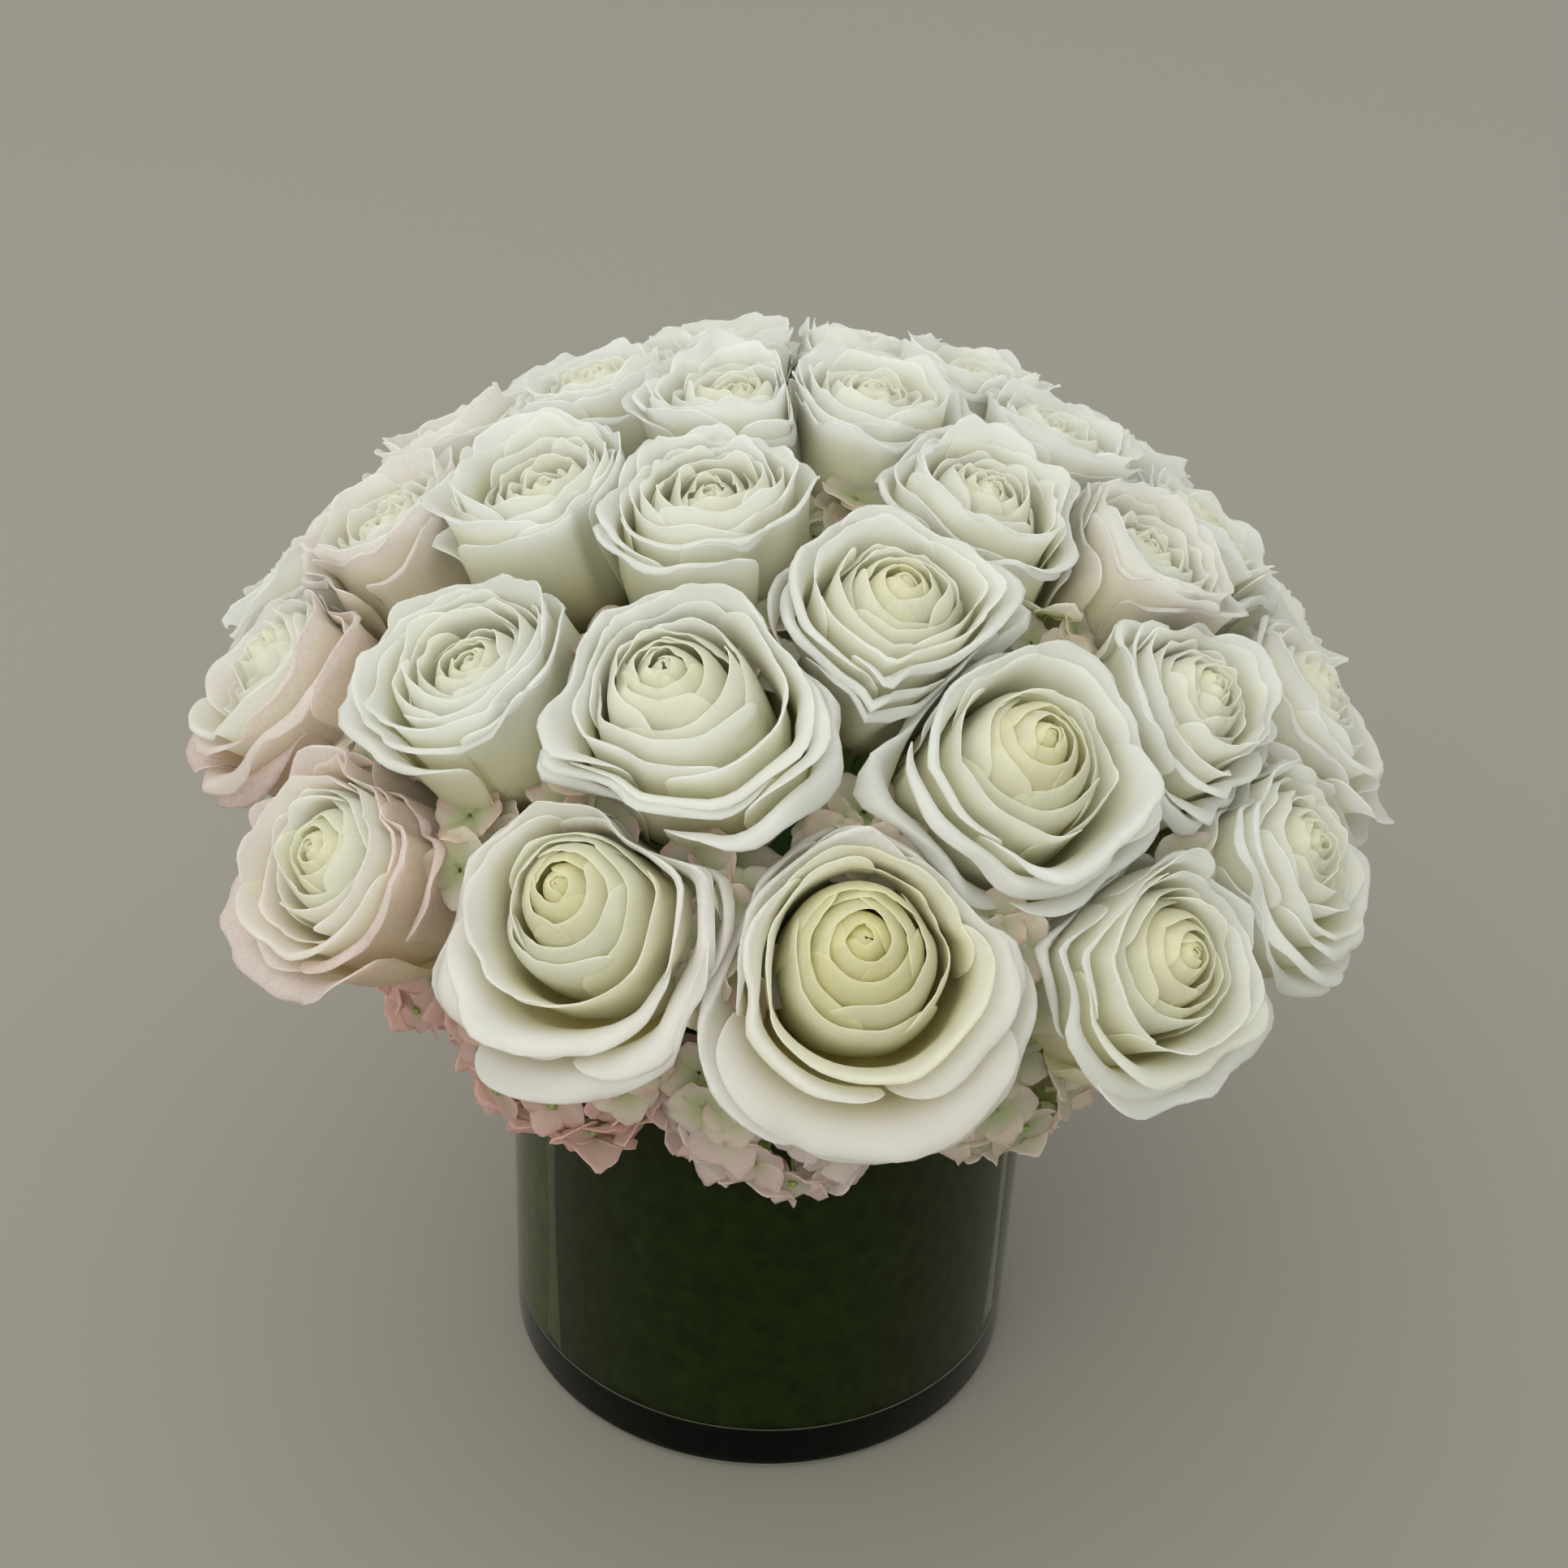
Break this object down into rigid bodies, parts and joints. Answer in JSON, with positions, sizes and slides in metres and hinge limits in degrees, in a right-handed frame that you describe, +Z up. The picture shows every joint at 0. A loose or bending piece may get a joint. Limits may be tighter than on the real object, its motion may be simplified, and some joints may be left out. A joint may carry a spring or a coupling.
{
  "type": "floral table centerpiece",
  "caption": "Floral table centerpiece: a low dome of white roses over a hydrangea skirt, set in wet foam in a leaf-lined clear glass cylinder vase.",
  "frame": {"origin": "middle of the vase's flat underside, where it rests on the table", "axes": "+Z up along the vase's axis, -Y towards the front that the picture shows, +X to the right of that view"},
  "size_m": [0.319, 0.3278, 0.3063],
  "materials": {
    "vase_glass": "polished clear",
    "lining_leaf": "wet broad leaf, semi-gloss",
    "floral_foam": "soaked foam, matte",
    "white_rose": "soft petal",
    "blush_rose": "soft petal, pink towards the outside",
    "white_hydrangea": "soft petal",
    "green_hydrangea": "soft petal",
    "pink_hydrangea": "soft petal"
  },
  "bodies": {
    "root": {"vase": "vase_glass", "lining_leaf_01": "lining_leaf", "lining_leaf_02": "lining_leaf", "lining_leaf_03": "lining_leaf", "foam": "floral_foam", "rose_06": "blush_rose", "rose_01": "blush_rose", "rose_02": "blush_rose", "rose_03": "white_rose", "rose_04": "white_rose", "rose_05": "white_rose", "rose_12": "white_rose", "rose_19": "white_rose", "rose_29": "white_rose", "rose_30": "white_rose", "rose_31": "white_rose", "rose_32": "white_rose", "rose_33": "white_rose", "rose_28": "white_rose", "rose_13": "white_rose", "rose_07": "white_rose", "rose_08": "white_rose", "rose_10": "white_rose", "rose_11": "white_rose", "rose_18": "white_rose", "rose_34": "white_rose", "rose_35": "white_rose", "rose_36": "white_rose", "rose_37": "white_rose", "rose_38": "white_rose", "rose_20": "white_rose", "rose_14": "white_rose", "rose_15": "white_rose", "rose_09": "white_rose", "rose_16": "white_rose", "rose_17": "white_rose", "rose_25": "white_rose", "rose_24": "white_rose", "rose_27": "white_rose", "rose_26": "white_rose", "rose_21": "white_rose", "rose_22": "white_rose", "rose_23": "white_rose", "hydrangea_01": "white_hydrangea", "hydrangea_02": "green_hydrangea", "hydrangea_03": "green_hydrangea", "hydrangea_04": "white_hydrangea", "hydrangea_05": "white_hydrangea", "hydrangea_06": "green_hydrangea", "hydrangea_07": "white_hydrangea", "hydrangea_08": "white_hydrangea", "hydrangea_09": "pink_hydrangea", "hydrangea_10": "pink_hydrangea"}
  },
  "joints": []
}
